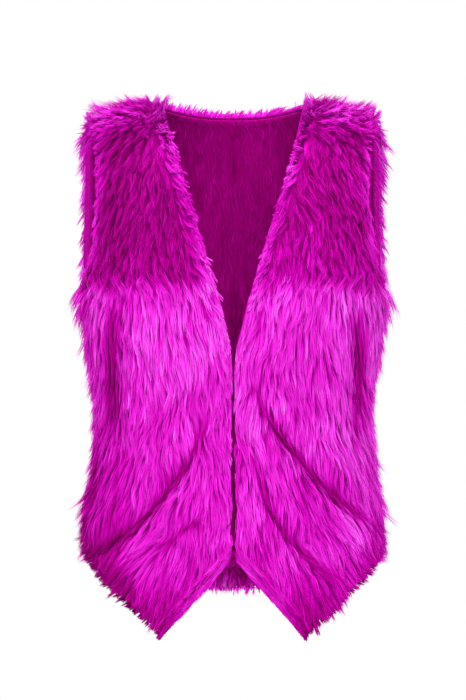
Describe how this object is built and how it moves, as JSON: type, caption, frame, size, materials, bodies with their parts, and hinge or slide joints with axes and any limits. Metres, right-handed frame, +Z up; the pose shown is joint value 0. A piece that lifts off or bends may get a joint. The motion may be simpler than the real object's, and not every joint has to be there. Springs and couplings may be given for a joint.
{
  "type": "faux fur vest in its worn shape",
  "caption": "Sleeveless long-pile faux fur vest, open V neck, fronts meeting edge to edge and pointed hems, hollow as if worn.",
  "frame": {"origin": "where the wearer's shoulders hold the vest: on the midline, level with the inside of the cloth halfway along the shoulder seams", "axes": "+Z up, front towards -Y, the wearer's left towards +X"},
  "size_m": [0.3855, 0.2454, 0.6548],
  "materials": {
    "fur": "long satin faux fur pile in magenta, combed down",
    "lining": "matt short-pile plush in a deeper magenta"
  },
  "bodies": {
    "root": {"front_left": "fur", "front_right": "fur", "back": "fur", "back_lining": "lining"}
  },
  "joints": []
}
